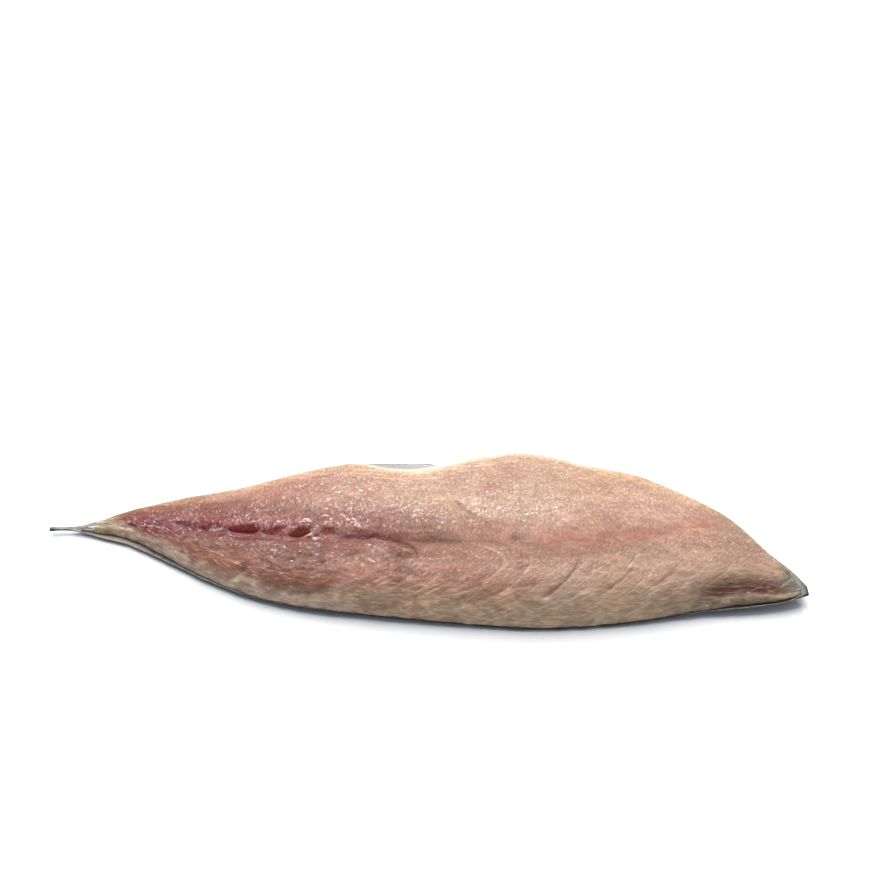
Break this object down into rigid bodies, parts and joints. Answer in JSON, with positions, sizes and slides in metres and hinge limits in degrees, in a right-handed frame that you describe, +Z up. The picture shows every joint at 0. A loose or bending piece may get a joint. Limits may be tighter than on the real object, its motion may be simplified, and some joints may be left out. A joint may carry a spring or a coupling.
{
  "type": "mackerel fillet",
  "caption": "Raw skin-on mackerel fillet lying flat with its pink cut side up: a thick rounded back edge, a thin belly flap, a groove along the middle and a pointed tail.",
  "frame": {"origin": "centre of the bounding box seen from above, on the surface the fillet lies on", "axes": "+X from the tail tip to the nape, +Y from the back edge to the belly edge, +Z up from the skin to the cut side"},
  "size_m": [0.238, 0.071, 0.015],
  "materials": {
    "flesh": "wet raw fish flesh, pink to cream, with fine glints",
    "skin": "wet mackerel skin, dark wavy bars on blue-green over the back, pearly silver on the belly"
  },
  "bodies": {
    "root": {"fillet": "flesh"}
  },
  "joints": []
}
